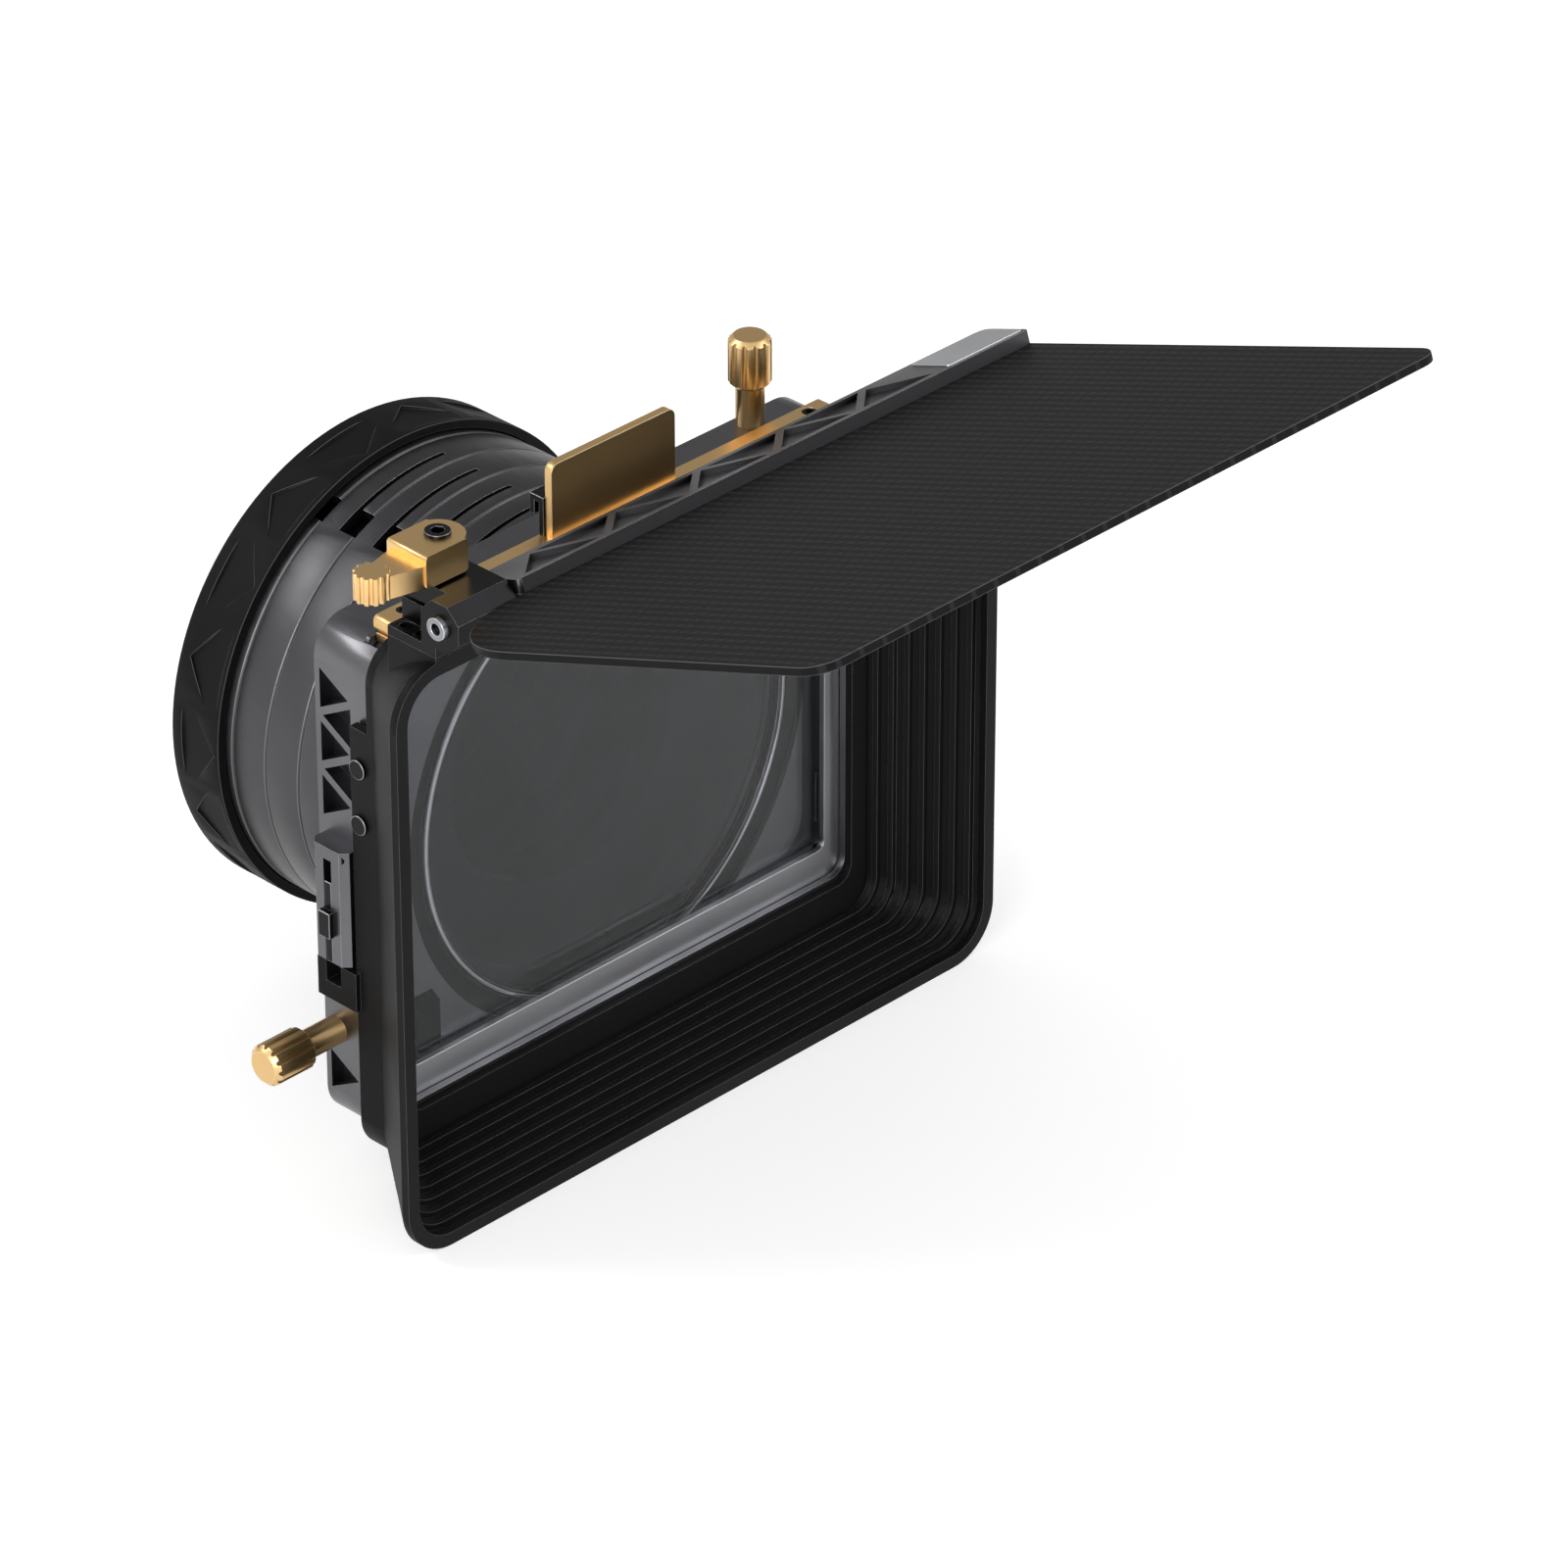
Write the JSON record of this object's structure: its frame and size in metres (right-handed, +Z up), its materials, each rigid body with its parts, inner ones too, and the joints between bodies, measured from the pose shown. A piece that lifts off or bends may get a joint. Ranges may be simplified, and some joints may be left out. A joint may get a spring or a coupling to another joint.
{
  "type": "matte box",
  "caption": "Compact camera matte box: flared hood, open top flag, slim filter tray, turning round filter, stacked adapter rings and rear cap.",
  "frame": {"origin": "on the lens axis, at the shoulder behind the rear adapter ring's threaded collar", "axes": "+Y points back to the lens, the front faces -Y, +X is right seen from the front, +Z is up"},
  "size_m": [0.1775, 0.2213, 0.1889],
  "materials": {
    "grey_anodised": "fine bead-blasted dark grey anodised",
    "black_anodised": "fine bead-blasted black anodised",
    "silver_anodised": "fine bead-blasted clear anodised",
    "gold_anodised": "satin gold anodised",
    "black_plastic": "fine moulded matte black",
    "carbon_sheet": "satin woven carbon laminate",
    "seal_foam": "closed-cell foam",
    "black_steel": "black oxide",
    "steel_rod": "ground steel",
    "brass": "turned brass",
    "grey_glass": "coated neutral grey glass",
    "clear_glass": "coated clear glass"
  },
  "bodies": {
    "ring_1": {"adapter_ring_1": "grey_anodised"},
    "ring_2": {"adapter_ring_2": "grey_anodised"},
    "ring_3": {"adapter_ring_3": "grey_anodised"},
    "ring_4": {"adapter_ring_4": "grey_anodised"},
    "ring_5": {"adapter_ring_5": "grey_anodised"},
    "ring_6": {"adapter_ring_6": "grey_anodised"},
    "cap": {"rear_cap": "black_plastic", "cap_inlay": "gold_anodised"},
    "core": {"core_frame": "grey_anodised", "light_seal": "seal_foam", "face_plate": "grey_anodised", "face_plate_screws": "black_steel", "side_screw_insert": "brass", "side_clamp_shoe": "black_anodised", "top_screw_insert": "brass", "top_clamp_shoe": "black_anodised", "latch_housing": "grey_anodised", "latch_screws": "black_steel"},
    "side_screw": {"side_thumbscrew": "gold_anodised"},
    "top_screw": {"top_thumbscrew": "gold_anodised"},
    "catch": {"latch_catch": "black_anodised"},
    "filter": {"filter_wheel": "black_anodised", "filter_ring": "silver_anodised", "round_glass": "grey_glass", "retaining_ring": "black_anodised"},
    "tray": {"tray_frame": "silver_anodised", "tray_trim": "gold_anodised", "tray_glass": "clear_glass", "glass_clips": "black_steel", "tray_hook": "black_anodised", "tray_screws": "black_steel"},
    "hood": {"hood_shell": "black_plastic", "detent_pins": "black_anodised", "hinge_clamp": "black_anodised", "clamp_foot_screws": "black_steel", "clamp_washer": "black_steel"},
    "lever": {"clamp_lever": "gold_anodised", "clamp_bolt": "black_steel", "lever_screw": "black_steel"},
    "flag": {"flag_panel": "carbon_sheet", "flag_rail": "black_anodised", "rail_end_plate": "silver_anodised", "hinge_rod": "steel_rod", "rail_screws": "black_steel"}
  },
  "joints": [
    {"name": "ring_2_slide", "type": "slide", "parent": "ring_1", "child": "ring_2", "axis": [0, -1, 0], "range_m": [0, 0.008]},
    {"name": "ring_3_slide", "type": "slide", "parent": "ring_2", "child": "ring_3", "axis": [0, -1, 0], "range_m": [0, 0.008]},
    {"name": "ring_4_slide", "type": "slide", "parent": "ring_3", "child": "ring_4", "axis": [0, -1, 0], "range_m": [0, 0.008]},
    {"name": "ring_5_slide", "type": "slide", "parent": "ring_4", "child": "ring_5", "axis": [0, -1, 0], "range_m": [0, 0.008]},
    {"name": "ring_6_slide", "type": "slide", "parent": "ring_5", "child": "ring_6", "axis": [0, -1, 0], "range_m": [0, 0.008]},
    {"name": "core_slide", "type": "slide", "parent": "ring_6", "child": "core", "axis": [0, -1, 0], "range_m": [0, 0.035]},
    {"name": "cap_slide", "type": "slide", "parent": "ring_1", "child": "cap", "axis": [0, 1, 0], "range_m": [0, 0.035]},
    {"name": "filter_turn", "type": "hinge", "parent": "core", "child": "filter", "pos_m": [0, -0.063, 0], "axis": [0, -1, 0], "continuous": true},
    {"name": "tray_slide", "type": "slide", "parent": "core", "child": "tray", "axis": [0, 0, 1], "range_m": [0, 0.125]},
    {"name": "side_screw_turn", "type": "hinge", "parent": "core", "child": "side_screw", "pos_m": [-0.0695, -0.0584, -0.037], "axis": [-1, 0, 0], "continuous": true},
    {"name": "top_screw_turn", "type": "hinge", "parent": "core", "child": "top_screw", "pos_m": [0.051, -0.0584, 0.0575], "axis": [0, 0, 1], "continuous": true},
    {"name": "catch_slide", "type": "slide", "parent": "core", "child": "catch", "axis": [0, 0, -1], "range_m": [0, 0.005]},
    {"name": "hood_slide", "type": "slide", "parent": "core", "child": "hood", "axis": [0, -1, 0], "range_m": [0, 0.035]},
    {"name": "flag_hinge", "type": "hinge", "parent": "hood", "child": "flag", "pos_m": [-0.07, -0.098, 0.076], "axis": [-1, 0, 0], "range_deg": [-110, 45]},
    {"name": "lever_turn", "type": "hinge", "parent": "hood", "child": "lever", "pos_m": [-0.0652, -0.0875, 0.083], "axis": [0, 0, -1], "range_deg": [0, 90]}
  ]
}
